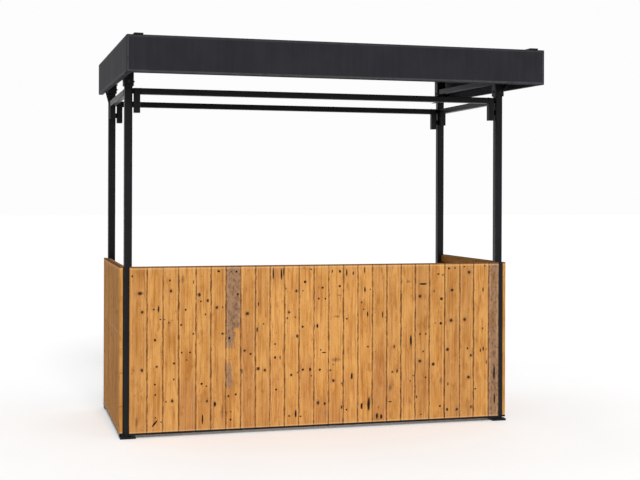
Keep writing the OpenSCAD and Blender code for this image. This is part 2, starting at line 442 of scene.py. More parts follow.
def pine(name, wild, shade=1.0, specular=0.18, rough=0.42):
    """Oiled reclaimed pine. It reads each board's own place, seed, tone, weathering and stains with painted
    joint shade, and marks.
    """
    g = Graph(name)
    g.shader.inputs["Specular IOR Level"].default_value = specular
    grain = g.attribute("grain")
    seed, tone, red = g.split(g.attribute("look"))
    grey, grime_and_shade, rose = g.split(g.attribute("wear_and_shade"))
    knot_mark, hole, stain = g.split(g.attribute("mark"))
    own = g.vector("ADD", grain, g.join(*(g.times(seed, spread) for spread in SEED_SPREAD)))
    small_knot, halo = lot_knots(g, own, wild)
    halo = g.most(halo, g.fade(knot_mark, 0.0, 0.40))
    late = growth_rings(g, own, grain, seed, halo)

    fibre = g.noise(g.stretched(own, (1.0, 1.0, 0.022)), 620.0, 3.0, 0.6)
    streak = g.noise(g.stretched(own, (1.0, 1.0, 0.05)), 62.0, 3.0, 0.55)
    patch = g.noise(g.stretched(own, (1.0, 1.0, 0.45)), 11.0, 3.0, 0.55)
    speck = g.noise(own, 150.0, 3.0, 0.6)
    blush = g.times(g.most(red, rose), g.fade(patch, 0.2, 0.6, 0.8, 1.0))
    colour = oiled_colour(g, own, late, fibre, streak, patch, blush)
    old, weathered = weathering(g, own, patch, speck, grey)
    colour = g.mix(g.times(old, 0.92), colour, weathered)
    # Each board's tone, darkened where the material carries painted shade
    brightness = g.times(tone, shade)
    colour = g.mix(1.0, colour, g.join(brightness, brightness, brightness), "MULTIPLY")

    ragged_edge = g.minus(g.noise(own, 260.0, 3.0, 0.6), 0.5)
    colour = draw_knots(g, colour, halo, small_knot, knot_mark, ragged_edge)
    bored = worm_holes(g, own)
    colour = g.mix(g.times(bored, 0.9), colour, GRIME_AND_SHADE)
    colour = draw_iron(g, colour, hole, stain, streak, ragged_edge)
    end_grain = g.sideways_on_end()
    colour = draw_edges(g, colour, own, grain, patch, end_grain)
    # Specks of dirt all over, and painted shade with dirt on the tongues, grooves and arrises at joints
    dirt_and_shade = g.scaled(g.minus(speck, 0.5), 0.5, grime_and_shade)
    colour = g.mix(g.fade(dirt_and_shade, 0.12, 0.7, 0.0, 0.95), colour, GRIME_AND_SHADE)

    roughness = g.scaled(fibre, 0.22, rough)
    roughness = g.scaled(old, 0.25, roughness)
    roughness = g.scaled(end_grain, 0.15, roughness, clamp=True)
    height = g.scaled(late, 0.35, g.times(fibre, 0.6))
    height = g.scaled(g.times(old, speck), 1.2, height)
    height = g.scaled(small_knot, 0.6, height)
    height = g.scaled(bored, -2.0, height)
    return g.finish(colour, roughness, height, 0.35 * MM, 0.8)


def lot_knots(g, own, wild):
    """Small knots drawn by lot, one to a cell, and the halos round them."""
    distance, pick = g.cells(g.stretched(own, (8.0, 0.0, 5.0)))
    lot = g.split(pick)
    size = g.scaled(lot[0], 0.055 * wild, 0.016)
    reach = g.math("DIVIDE", distance, size)
    shown = g.math("GREATER_THAN", lot[1], 0.45)
    return g.times(g.fade(reach, 1.15, 0.7), shown), g.times(g.fade(reach, 3.4, 0.9), shown)


def growth_rings(g, own, grain, seed, halo):
    """Late wood in rings round a heart behind the board, pushed aside by knots."""
    u, v, w = g.split(grain)
    warp = g.noise(g.stretched(own, (6.0, 6.0, 1.6)), 1.0, 3.0, 0.5)
    lean = g.noise(g.stretched(own, (0.4, 0.4, 0.9)), 1.0)
    lean = g.times(g.minus(lean, 0.5), 0.09)
    off_centre = g.math("FRACT", g.times(seed, 9.7))
    across = g.plus(g.plus(u, g.scaled(off_centre, 0.11, -0.055)), lean)
    depth = g.math("FRACT", g.times(seed, 23.3))
    behind = g.plus(g.scaled(depth, 0.06, 0.02), v)
    radius = g.vector("LENGTH", g.join(across, behind, g.times(w, 0.02)))
    radius = g.scaled(warp, 0.030, radius)
    radius = g.scaled(halo, 0.012, radius)
    ring = g.math("FRACT", g.times(radius, 190.0))
    return g.times(g.fade(ring, 0.35, 0.86), g.fade(ring, 1.0, 0.93))


def oiled_colour(g, own, late, fibre, streak, patch, blush):
    """The colour of sound wood: patches of oil, rings, streaks, fibres and smudges."""
    colour = g.mix(g.fade(patch, 0.32, 0.68), STRAW, HONEY)
    colour = g.mix(blush, colour, ROSY)
    colour = g.mix(g.times(late, 0.34), colour, LATE)
    colour = g.mix(g.fade(streak, 0.46, 0.74, 0.0, 0.80), colour, LATE)
    colour = g.mix(g.fade(streak, 0.46, 0.24, 0.0, 0.45), colour, STRAW)
    colour = g.mix(g.fade(fibre, 0.48, 0.76, 0.0, 0.55), colour, LATE)
    smudge = g.noise(g.stretched(own, (1.0, 1.0, 0.35)), 26.0, 4.0, 0.65)
    colour = g.mix(g.fade(smudge, 0.52, 0.74, 0.0, 0.75), colour, LATE)
    return g.mix(g.fade(smudge, 0.45, 0.26, 0.0, 0.50), colour, STRAW)


def weathering(g, own, patch, speck, grey):
    """How far the wood has greyed, with a ragged edge, and the greyed colour."""
    lichen = g.noise(g.stretched(own, (1.0, 1.0, 0.6)), 75.0, 3.0, 0.65)
    weathered = g.mix(g.fade(lichen, 0.42, 0.68, 0.0, 0.72), GREYED, GREY_DARK)
    weathered = g.mix(g.fade(speck, 0.58, 0.78, 0.0, 0.55), weathered, STRAW)
    ragged = g.scaled(g.minus(patch, 0.5), 0.9, grey)
    ragged = g.scaled(g.minus(speck, 0.5), 0.8, ragged)
    return g.times(g.fade(ragged, 0.36, 0.60), g.fade(grey, 0.0, 0.25)), weathered


def draw_knots(g, colour, halo, small_knot, knot_mark, ragged_edge):
    """Adds halos, the knots drawn by lot, and the placed knots with their rims."""
    colour = g.mix(g.times(halo, 0.60), colour, HALO)
    colour = g.mix(small_knot, colour, KNOT)
    heart = g.scaled(ragged_edge, 0.7, knot_mark)
    colour = g.mix(g.fade(heart, 0.34, 0.62), colour, KNOT_RIM)
    return g.mix(g.fade(heart, 0.62, 0.86), colour, KNOT)


def worm_holes(g, own):
    """One inside fine holes, which come in crowds."""
    worm, chance = g.cells(g.stretched(own, (1.0, 0.0, 1.0)), 80.0)
    crowd = g.fade(g.noise(own, 5.0, 2.0, 0.5), 0.42, 0.62, 0.97, 0.74)
    return g.times(g.fade(worm, 0.21, 0.13), g.math("GREATER_THAN", g.split(chance)[0], crowd))


def draw_iron(g, colour, hole, stain, streak, ragged_edge):
    """Adds black iron stains and nail holes with ragged edges."""
    rust = g.scaled(g.plus(ragged_edge, g.minus(streak, 0.5)), 0.8, stain)
    rust = g.times(rust, g.fade(stain, 0.0, 0.1))
    colour = g.mix(g.fade(rust, 0.1, 0.75, 0.0, 0.92), colour, IRON)
    bore = g.times(g.scaled(ragged_edge, 1.1, hole), g.fade(hole, 0.0, 0.15))
    return g.mix(g.fade(bore, 0.12, 0.5), colour, IRON)


def draw_edges(g, colour, own, grain, patch, end_grain):
    """Adds brown joints, painted highlights as pale lines beside them and near the ends, a dark brown line
    along the upper end, and duller end grain.
    """
    u, _, w = g.split(grain)
    half, length, free = g.split(g.attribute("size"))
    to_side = g.minus(half, g.math("ABSOLUTE", u))
    uneven = g.noise(g.stretched(own, (3.0, 3.0, 1.0)), 16.0, 4.0, 0.7)
    uneven = g.fade(uneven, 0.38, 0.62, 0.1, 1.0)
    reach_in = g.scaled(uneven, 7 * MM, 2 * MM)
    rubbed = g.times(g.fade(g.math("DIVIDE", to_side, reach_in), 1.0, 0.2), uneven)
    outer = g.fade(g.times(u, free), 0.0, 10 * MM)
    rubbed = g.times(rubbed, g.minus(1.0, outer))
    colour = g.mix(g.times(rubbed, 0.95), colour, JOINT_BROWN)
    to_top = g.minus(length, w)
    # Painted highlights: pale lines beside the joints and near the board's ends
    beside = g.times(ridge(g, to_side, 8 * MM, 14 * MM), g.fade(patch, 0.4, 0.6, 0.2, 1.0))
    colour = g.mix(g.times(beside, 0.30), colour, LINE_HIGHLIGHT)
    pale = g.most(ridge(g, to_top, 11 * MM, 18 * MM), ridge(g, w, 1 * MM, 8 * MM))
    colour = g.mix(g.times(pale, 0.35), colour, LINE_HIGHLIGHT)
    colour = g.mix(g.fade(to_top, 10 * MM, 6 * MM, 0.0, 0.9), colour, JOINT_BROWN)
    return g.mix(g.times(end_grain, 0.45), colour, END_GRAIN)


# ---------------------------------------------------------------- boards

# The front boards, counted from the left: most have the ordinary width, one run is a little
# narrower, a few are wide, and the last one fills what is left
ORDINARY_BOARD = 101.5 * MM
NARROW_BOARD = 98 * MM
WIDE_BOARD = 111 * MM
FULL_BOARDS = 24
NARROW_BOARDS = range(4, 11)
WIDE_BOARDS = (0, 3, 20, 21, 23)

# What each mark looks like from its rim inwards: (radius factor, depth in mm, knot, hole, stain)
MARKS = {
    "nail": (
        (3.0, 0.0, 0.0, 0.0, 0.0), (1.8, 0.0, 0.10, 0.0, 0.12), (1.2, 0.0, 0.2, 0.35, 0.3),
        (0.9, 0.6, 0.0, 1.0, 0.4), (0.0, 1.8, 0.0, 1.0, 0.4),
    ),
    "knot": (
        (3.4, 0.0, 0.0, 0.0, 0.0), (1.9, 0.0, 0.16, 0.0, 0.0), (1.2, 0.0, 0.45, 0.0, 0.0),
        (0.85, -0.2, 0.85, 0.0, 0.1), (0.0, 0.1, 1.0, 0.15, 0.3),
    ),
    "slot": (
        (2.6, 0.0, 0.0, 0.0, 0.0), (1.5, 0.0, 0.05, 0.0, 0.20), (1.0, 0.2, 0.0, 0.2, 0.7),
        (0.45, 1.4, 0.0, 0.9, 1.0), (0.0, 1.8, 0.0, 1.0, 1.0),
    ),
    "smear": (
        (2.0, 0.0, 0.0, 0.0, 0.0), (1.3, 0.0, 0.10, 0.0, 0.10), (0.7, 0.0, 0.30, 0.0, 0.25),
        (0.0, 0.0, 0.45, 0.0, 0.35),
    ),
}
TIGHT_RIM = 1.5

# The front boards' marks, by board from the left: kind, height above the board's lower end and
# distance right of its middle in centimetres, half width and half height in millimetres, and for a
# slanted one its lean, to the right for each height
FRONT_MARKS = {
    0: (
        ("nail", 100, -4.2, 4, 5), ("knot", 89, 1.2, 11, 8), ("knot", 77, 2.4, 7, 7),
        ("knot", 40, 2.4, 6, 8), ("nail", 40, -2.8, 2, 2), ("smear", 7, -0.8, 8, 30),
        ("nail", 24, -2, 2, 2),
    ),
    1: (
        ("nail", 78.6, -0.8, 4, 4), ("slot", 78.8, 2.2, 4, 15), ("nail", 72.2, 3.8, 4, 4),
        ("nail", 59, 0, 5, 6), ("knot", 42, 1.1, 5, 5), ("nail", 30.7, 0, 4, 4),
        ("nail", 24, 0.3, 4, 4), ("nail", 9.4, 0.5, 4, 3), ("slot", 5.6, -0.2, 6, 17, 0.75),
        ("nail", 6.5, 4.1, 4, 4),
    ),
    2: (
        ("nail", 97, -0.7, 4, 5), ("knot", 90.2, 0, 6, 8), ("nail", 70, -1.3, 3, 4),
        ("nail", 71.5, 0.8, 2, 2), ("nail", 72, -4.3, 4, 4), ("nail", 43.7, 2.1, 5, 5),
        ("knot", 33.5, 2, 4, 5), ("knot", 19.7, 1, 6, 8), ("nail", 19.3, -2.8, 3, 4),
    ),
    3: (
        ("smear", 97.5, -3.4, 9, 24), ("nail", 78, -1.1, 4, 5), ("nail", 68.3, -4.1, 5, 5),
        ("slot", 95.7, 3.8, 2, 10), ("nail", 62.4, 4.2, 4, 4), ("nail", 50.5, -3.6, 4, 4),
        ("nail", 50.5, 1.8, 4, 4), ("nail", 45.7, -0.4, 3, 3),
    ),
    4: (
        ("knot", 87.4, -3.6, 10, 10), ("nail", 83.2, -1.7, 4, 4), ("nail", 83.6, 3.0, 5, 7),
        ("knot", 74.7, 1.3, 4, 4), ("nail", 30, -1, 5, 5), ("nail", 28.3, 2, 4, 4),
        ("knot", 18.7, 2.5, 5, 7), ("slot", 7, -0.4, 4, 26),
    ),
    5: (
        ("nail", 102.5, 0, 6, 5), ("nail", 78.4, -4, 4, 4), ("knot", 79, -1.1, 7, 7),
        ("knot", 79.2, 2.8, 4, 4), ("knot", 62, 2.8, 7, 6), ("slot", 16.5, -2.2, 6, 14),
        ("slot", 17, 2.8, 4, 14), ("smear", 11, 2.8, 9, 40),
    ),
    6: (
        ("nail", 102, 1.9, 5, 5), ("nail", 102, -1.5, 3, 3), ("knot", 87.4, 2.9, 7, 7),
        ("nail", 59, -2.7, 5, 6), ("nail", 22.3, 1.7, 5, 5), ("nail", 21.3, -3.3, 4, 6),
        ("nail", 6, -1.7, 4, 4), ("nail", 11, -1.5, 2, 4),
    ),
    7: (
        ("smear", 90, -1.2, 3, 18), ("knot", 74.6, -0.5, 9, 8), ("smear", 72, -1, 5, 6),
        ("knot", 50.5, -2.4, 6, 6), ("knot", 48.3, 1.7, 6, 6), ("slot", 37.2, -4.1, 4, 13),
    ),
    8: (
        ("slot", 80.7, -3, 3, 8), ("nail", 67.6, 0.5, 3, 4), ("slot", 64, -3.9, 5, 12),
        ("knot", 38.5, -3.3, 9, 9), ("knot", 37.3, 1.4, 6, 7),
    ),
    9: (
        ("slot", 101.5, -2.9, 4, 30), ("slot", 101, 2.6, 4, 32), ("slot", 102, 4.3, 3, 24),
        ("nail", 54.2, -1.4, 4, 4), ("nail", 45.4, -1.4, 5, 6), ("slot", 45.2, 1.9, 3, 12),
        ("nail", 24.3, -0.7, 5, 4),
    ),
    10: (
        ("knot", 88.8, 3.3, 8, 8), ("knot", 74.9, -2, 5, 6), ("nail", 71, -3.3, 4, 4),
        ("nail", 71.5, 2.2, 3, 3), ("nail", 90.6, -4.2, 3, 4), ("knot", 59, 3.9, 6, 9),
        ("nail", 33.6, -0.4, 5, 6), ("nail", 35, 4.3, 4, 5), ("slot", 7.7, 2.8, 6, 18),
        ("nail", 6.6, -1.7, 4, 5),
    ),
    11: (
        ("nail", 94.7, -1.2, 6, 6), ("nail", 88.8, -2.5, 3, 3), ("nail", 65.1, -2.7, 5, 5),
        ("nail", 104, -1.8, 3, 3), ("nail", 103, 3.0, 4, 3), ("nail", 36.8, -2.4, 5, 5),
        ("nail", 36.7, 2.5, 5, 7), ("nail", 32.6, 3.4, 3, 4), ("nail", 6, -4.1, 5, 4),
    ),
    12: (
        ("nail", 90.7, 0.8, 5, 5), ("nail", 83.4, -1.8, 4, 4), ("nail", 83.3, 2.7, 4, 4),
        ("slot", 65.4, -2.7, 5, 10), ("slot", 47.6, 1.8, 13, 3), ("nail", 49.4, -0.3, 4, 4),
        ("nail", 36.3, -0.9, 5, 5), ("knot", 13.7, 2.5, 6, 8), ("knot", 14.4, -2.3, 7, 9),
    ),
    13: (
        ("slot", 101.5, -2.6, 3, 8), ("nail", 101.3, 2.6, 5, 6), ("knot", 91.5, 2.5, 7, 6),
        ("slot", 86.8, -0.3, 9, 5), ("smear", 85.5, 2.6, 14, 5), ("slot", 71.3, -3.2, 10, 4),
        ("smear", 71.3, 1.2, 24, 7), ("smear", 42.6, 0, 34, 12), ("nail", 40.2, 3.4, 5, 5),
        ("nail", 39.5, -2.0, 3, 3), ("nail", 35.7, -4.2, 5, 4), ("knot", 28.7, -1.7, 7, 7),
        ("nail", 26.6, 4.2, 4, 6), ("nail", 10.8, 4.2, 4, 9),
    ),
    14: (
        ("slot", 100.5, -2.9, 4, 20), ("slot", 100, 1.6, 3, 10), ("nail", 69.7, -2.8, 4, 4),
        ("slot", 31.2, 0.8, 5, 14), ("nail", 9, -2.8, 4, 4),
    ),
    15: (
        ("slot", 102, -0.5, 3, 18), ("slot", 88.9, -0.3, 4, 12), ("nail", 89, 3.6, 3, 3),
        ("knot", 80.4, -2.5, 4, 5), ("nail", 75.7, -1.1, 3, 4), ("slot", 72.5, 1.7, 4, 12),
        ("knot", 50.6, 2, 5, 4), ("slot", 12, 2.7, 7, 36), ("slot", 11, -2.4, 5, 16),
    ),
    16: (
        ("smear", 101.5, 1.4, 4, 18), ("slot", 71.9, 2.1, 3, 20), ("nail", 70, 4.2, 3, 3),
        ("slot", 3.9, -1.7, 6, 16), ("slot", 3.3, 1.4, 6, 13),
    ),
    17: (
        ("nail", 33, -1, 4, 4), ("slot", 33.5, 2.4, 4, 9), ("smear", 22.5, -2.8, 12, 16),
        ("knot", 50, 0.3, 4, 9), ("slot", 13, -2.5, 12, 3),
    ),
    18: (
        ("slot", 94, -4, 5, 3), ("smear", 93.8, 0.4, 20, 7), ("slot", 54, 2, 6, 28),
        ("nail", 30, 4.2, 5, 4), ("nail", 26.4, 1.6, 3, 4), ("smear", 14, -3.2, 4, 18),
    ),
    19: (
        ("slot", 92, 0.6, 22, 5), ("knot", 83.8, -1.8, 8, 8), ("nail", 46.2, 0.7, 4, 4),
        ("knot", 39.7, -1.6, 8, 8), ("nail", 58, -1.6, 4, 4), ("nail", 58, 2.5, 4, 4),
        ("slot", 15.5, -4.2, 4, 9), ("nail", 28.5, 2.6, 4, 4), ("nail", 3.5, -0.6, 3, 3),
    ),
    20: (
        ("slot", 98.6, 1, 6, 4), ("nail", 98, 4.2, 4, 4), ("knot", 87, -2.1, 4, 4),
        ("knot", 81.7, 3.2, 9, 8), ("nail", 65, 2.8, 6, 6), ("knot", 65.3, -1.4, 3, 3),
        ("knot", 37.3, -2.6, 9, 9), ("nail", 8.5, 2.4, 5, 5), ("smear", 26, 3.2, 11, 20),
    ),
    21: (
        ("nail", 102.3, -2.5, 5, 5), ("nail", 102.6, 1.9, 3, 5), ("knot", 87.5, -0.2, 9, 8),
        ("knot", 66.8, -0.9, 9, 9), ("knot", 47, -3.4, 9, 9), ("nail", 6, -3.6, 5, 7),
        ("knot", 5.8, 3.7, 8, 8), ("slot", 23.5, -3.0, 3, 8),
    ),
    22: (
        ("nail", 103.5, -2, 4, 4), ("knot", 99.5, 1.7, 8, 8), ("knot", 67.2, -1.5, 8, 9),
        ("knot", 65, -4.0, 5, 5), ("nail", 47.3, 0.7, 4, 5), ("knot", 42.4, 3.7, 8, 8),
        ("knot", 27.5, 1.5, 8, 8), ("knot", 7, 3.9, 7, 10),
    ),
    23: (
        ("nail", 104, 2.7, 4, 6), ("slot", 87.4, 1.4, 3, 12), ("nail", 60.8, 1.2, 4, 4),
        ("slot", 45.7, -0.4, 3, 12), ("slot", 46.8, 1.6, 4, 12), ("nail", 46.4, 3.9, 3, 4),
        ("slot", 37.5, 4.1, 3, 11), ("nail", 19.3, -4.2, 5, 4),
    ),
    24: (
        ("smear", 95, 0, 12, 40), ("slot", 30, 0.5, 5, 40), ("smear", 66, -0.5, 12, 60),
        ("slot", 12, 0.8, 4, 30),
    ),
}

# Tone and redness of the front boards
ORDINARY_LOOK = (1.0, 0.04)
PALE_LOOK = (1.055, 0.0)
DULL_LOOK = (0.93, 0.15)
WARM_LOOK = (1.0, 0.12)
FRONT_LOOKS = {
    **dict.fromkeys(range(9, 16), PALE_LOOK),
    **dict.fromkeys((0, 19, 21, 22, 24), DULL_LOOK),
    **dict.fromkeys((5, 7, 16), WARM_LOOK),
}

# Weathered, dirty and rosy stretches of the front boards: kind, from and to in centimetres above the
# lower end, side (-1 left half, 1 right half, 0 whole width), strength
FRONT_STAINS = {
    0: (("rose", 96, 106, 0, 0.3), ("rose", 0, 12, 0, 0.25)),
    1: (("rose", 0, 14, 0, 0.3),),
    2: (("rose", 84, 106, 0, 0.15),),
    3: (("rose", 0, 28, 0, 0.75), ("rose", 30, 36, 1, 0.3)),
    4: (("rose", 0, 22, 0, 0.35),),
    5: (("rose", 0, 45, 0, 0.30),),
    6: (("grey", 66, 106, 0, 0.95), ("grey", 54, 66, -1, 0.9), ("grey", 27, 42, -1, 0.66)),
    7: (("rose", 0, 69, 0, 0.60), ("grey", 3, 12, -1, 0.35)),
    8: (("rose", 80, 106, 0, 0.3), ("rose", 0, 30, 0, 0.3)),
    9: (("rose", 94, 106, 0, 0.45), ("grey", 88, 104, 1, 0.32), ("rose", 0, 44, 0, 0.35)),
    10: (("rose", 0, 14, 0, 0.25),),
    11: (("rose", 0, 42, 0, 0.35),),
    12: (("rose", 74, 90, -1, 0.4), ("grey", 2, 10, 1, 0.4), ("rose", 0, 16, 0, 0.5)),
    13: (("rose", 0, 12, 0, 0.7), ("grey", 38, 44, 0, 0.30)),
    14: (("rose", 96, 106, 0, 0.2), ("rose", 0, 30, 0, 0.3)),
    16: (("rose", 0, 42, 0, 0.65), ("rose", 90, 106, 0, 0.25)),
    17: (("rose", 40, 106, -1, 0.30), ("rose", 14, 28, -1, 0.6), ("grey", 18, 24, -1, 0.38)),
    18: (("rose", 12, 44, 0, 0.35), ("grey", 20, 34, 1, 0.30)),
    19: (("rose", 10, 40, 0, 0.45), ("grey", 0, 12, 1, 0.42), ("rose", 70, 106, 0, 0.4)),
    20: (("rose", 20, 30, 1, 0.4),),
    21: (("rose", 0, 45, 0, 0.3), ("grey", 60, 70, 0, 0.34), ("grey", 0, 8, 1, 0.45)),
    22: (("rose", 78, 104, 0, 0.35), ("grey", 98, 106, 1, 0.35), ("rose", 0, 12, 1, 0.6)),
    24: (("grey", 0, 106, 0, 0.72), ("rose", 0, 50, 0, 0.5)),
}
STAIN_FADE = 40 * MM
MARK_SCALE = 1.12
BOARD_THICKNESS = 20.5 * MM
BEHIND_FACE = 0.2 * MM
# How often a nail head shows, in the lower, the middle and the upper row
NAIL_CHANCES = (0.85, 0.85, 0.5)


def front_board_width(i):
    """The width of one of the front boards."""
    if i in WIDE_BOARDS:
        return WIDE_BOARD
    return NARROW_BOARD if i in NARROW_BOARDS else ORDINARY_BOARD


def ramp_between(value, low, high, fade):
    """One between low and high, falling to nothing over a fade beyond either."""
    return max(0.0, min(1.0, (value - low + fade) / fade, (high + fade - value) / fade))


def stained(stains, u, w, half):
    """The grey, the dirt and the rose of a board at one point."""
    wear_and_shade = {"grey": 0.0, "grime_and_shade": 0.0, "rose": 0.0}
    for kind, start, end, side, strength in stains:
        amount = strength * ramp_between(w, start / 100, end / 100, STAIN_FADE)
        if side:
            amount *= max(0.0, min(1.0, 0.5 + 1.3 * side * u / half))
        wear_and_shade[kind] = max(wear_and_shade[kind], amount)
    return wear_and_shade["grey"], wear_and_shade["grime_and_shade"], wear_and_shade["rose"]


class Board:
    """One upright board: where it stands, its size and its character."""

    def __init__(self, place, width, length, thickness, joints, look, marks, stains):
        self.place = place
        self.half = width / 2
        self.length = length
        self.thickness = thickness
        self.joints = joints
        self.look = look
        self.marks = marks
        self.stains = stains

    def outline(self, inset):
        """The board's section as (u, v, darkness), anticlockwise from the left end of its face; the darkness
        is painted shade with dirt on the tongue, the groove and the arrises at joints.
        """
        h, t, i = self.half - inset, self.thickness, inset
        mid, tongue = t / 2, 3 * MM
        points = [(-h + ARRIS, i, 0.0), (h - ARRIS, i, 0.0), (h - ARRIS * 0.3, i + ARRIS * 0.3, 0.0)]
        # Painted shade with dirt: half on the arrises beside a joint, full on its tongue and groove
        joint_shade = 1.0 if self.joints[1] else 0.0
        points.append((h, i + ARRIS, 0.5 * joint_shade))
        if self.joints[1]:
            out = h + JOINT_GAP + 4 * MM
            points += [(h, mid - tongue, 1.0), (out, mid - tongue, 1.0)]
            points += [(out, mid + tongue, 1.0), (h, mid + tongue, 1.0)]
        points += [(h, t - ARRIS - i, 0.5 * joint_shade), (h - ARRIS, t - i, 0.0), (-h + ARRIS, t - i, 0.0)]
        joint_shade = 1.0 if self.joints[0] else 0.0
        points.append((-h, t - ARRIS - i, 0.5 * joint_shade))
        if self.joints[0]:
            deep, wide = -h + 6 * MM, tongue + 0.4 * MM
            points += [(-h, mid + wide, 1.0), (deep, mid + wide, 1.0)]
            points += [(deep, mid - wide, 1.0), (-h, mid - wide, 1.0)]
        points += [(-h, i + ARRIS, 0.5 * joint_shade), (-h + ARRIS * 0.3, i + ARRIS * 0.3, 0.0)]
        return points

    def add_to(self, shape, rng):
        """Adds the board: its sides as a loft, its face as a net round its marks."""
        bevel = 1.4 * MM
        inner = 14
        heights = [0.0, bevel]
        heights += [self.length * (i + 1) / (inner + 1) for i in range(inner)]
        heights += [self.length - bevel, self.length]
        bow = rng.uniform(-0.6, 0.6) * MM
        proud = rng.uniform(0.0, 1.1) * MM
        rings = []
        columns = []
        for i, w in enumerate(heights):
            inset = bevel * 0.8 if i in (0, len(heights) - 1) else 0.0
            wave = rng.uniform(-0.25, 0.25) * MM
            sag = bow * math.sin(math.pi * w / self.length) + proud
            ring = []
            for u, v, grime_and_shade in self.outline(inset):
                free = 1.0 - grime_and_shade
                ring.append((u + wave * free, v + (sag if v < self.thickness / 2 else 0.0) * free, w, grime_and_shade))
            rings.append(ring)
            columns.append((ring[0], ring[1]))
        count = len(rings[0])
        placed = [[self.place(u, v, w) for u, v, w, grime_and_shade in ring] for ring in rings]
        base = shape.loft(placed, {1, 2, count - 1, count - 2}, 1, skip={0})
        for ring in rings:
            for u, v, w, grime_and_shade in ring:
                self.note(shape, u, v, w, grime_and_shade, (0.0, 0.0, 0.0))
        self.add_face_net(shape, rng, base, count, columns)

    def note(self, shape, u, v, w, grime_and_shade, mark):
        """Writes down what the material reads at one point."""
        grey, dirt_and_shade, rose = stained(self.stains, u, w, self.half)
        shape.values["grain"].append((u, v, w))
        shape.values["look"].append(self.look)
        shape.values["wear_and_shade"].append((grey, max(grime_and_shade, dirt_and_shade), rose))
        shape.values["mark"].append(mark)
        shape.values["size"].append((self.half, self.length, float(self.joints[0] - self.joints[1])))

    def add_face_net(self, shape, rng, base, count, columns):
        """Fills the board's face with triangles that run round every mark."""
        flat, edges, owners, extra = [], [], [], []
        last = len(columns) - 1
        for i, (left, right) in enumerate(columns):
            flat += [(left[0], left[2]), (right[0], right[2])]
            owners += [base + i * count, base + i * count + 1]
            if i:
                edges += [(2 * i - 2, 2 * i), (2 * i - 1, 2 * i + 1)]
            if i in (0, 1, last - 1, last):
                edges.append((2 * i, 2 * i + 1))
        taken = []
        largest_first = sorted(self.marks, key=lambda mark: -mark[3] * mark[4])
        for kind, height, offset, wide, tall, *lean in largest_first:
            mark = (kind, height / 100, offset / 100, wide * MM, tall * MM, lean[0] if lean else 0.0)
            self.add_mark(rng, flat, edges, extra, taken, mark, columns)
        for left, right in columns[2:-2]:
            for part in (0.28, 0.5, 0.72):
                u = left[0] + (right[0] - left[0]) * part
                w = left[2]
                if all(abs(u - cu) > ru * 1.1 or abs(w - cw) > rw * 1.1 for cu, cw, ru, rw in taken):
                    depth = left[1] + (right[1] - left[1]) * part
                    flat.append((u, w))
                    extra.append((u, depth, w, (0.0, 0.0, 0.0)))
        made = delaunay_2d_cdt([Vector(p) for p in flat], edges, [], 1, 1e-7)
        start = len(shape.points)
        fixed = len(owners)
        for u, v, w, mark in extra:
            shape.points.append(self.place(u, v, w))
            self.note(shape, u, v, w, 0.0, mark)
        index = []
        for sources in made[3]:
            source = sources[0]
            index.append(owners[source] if source < fixed else start + source - fixed)
        for face in made[2]:
            shape.add_face(tuple(index[k] for k in face))

    def add_mark(self, rng, flat, edges, extra, taken, mark, columns):
        """Adds one mark's rings to the net, unless there is no room for them."""
        found = self.room_for(mark, taken)
        if not found:
            return
        rings, cu, cw, wide, tall, spread = found
        lean = mark[5]
        rim = rings[0][0]
        taken.append((cu, cw, spread, rim * tall))
        sides = 14 if max(wide, tall) > 6 * MM else 10
        shape_of = [rng.uniform(0.86, 1.12) for _ in range(sides)]
        face_depth = self.face_depth(columns, cw)
        for factor, depth, knot, hole, stain in rings:
            value = (knot, hole, stain)
            if factor == 0.0:
                flat.append((cu, cw))
                extra.append((cu, face_depth + depth * MM, cw, value))
                continue
            first = len(flat)
            for k in range(sides):
                angle = 2 * math.pi * k / sides
                reach = factor * (1.0 if factor == rim else shape_of[k])
                above = reach * tall * math.sin(angle)
                u = cu + reach * wide * math.cos(angle) + lean * above
                w = cw + above
                flat.append((u, w))
                extra.append((u, face_depth + depth * MM, w, value))
                edges.append((first + k, first + (k + 1) % sides))

    def room_for(self, mark, taken):
        """A mark's rings, middle, half width, half height and spread, clear of all else.

        Where the full rings don't fit near its place, the mark goes without its halo, and a wide
        one is made narrower. Where that doesn't fit either, there is no room.
        """
        kind, height, offset, wide, tall, lean = mark
        wide, tall = wide * MARK_SCALE, tall * MARK_SCALE
        tight = ((TIGHT_RIM, 0.0, 0.0, 0.0, 0.0), *MARKS[kind][2:])
        for rings, shift in ((MARKS[kind], 4 * MM), (tight, 15 * MM)):
            rim = rings[0][0]
            spread = rim * (wide + abs(lean) * tall)
            room = self.half - ARRIS - 1.0 * MM - spread
            if room < 0 and rim == TIGHT_RIM:
                wide += room / rim
                spread += room
                room = 0.0
            cu = max(-room, min(room, offset))
            ends = 4 * MM + rim * tall
            cw = max(ends, min(self.length - ends, height))
            clear = all(
                abs(cu - u) > spread + ru or abs(cw - w) > rim * tall + rw
                for u, w, ru, rw in taken
            )
            near = math.hypot(cu - offset, cw - height) < shift
            if clear and near and room >= 0:
                return rings, cu, cw, wide, tall, spread
        return None

    def face_depth(self, columns, w):
        """How deep the board's face lies at one height."""
        for (low, _), (high, _) in zip(columns, columns[1:]):
            if low[2] <= w <= high[2]:
                part = (w - low[2]) / max(high[2] - low[2], 1e-9)
                return low[1] + (high[1] - low[1]) * part
        return columns[1][0][1]


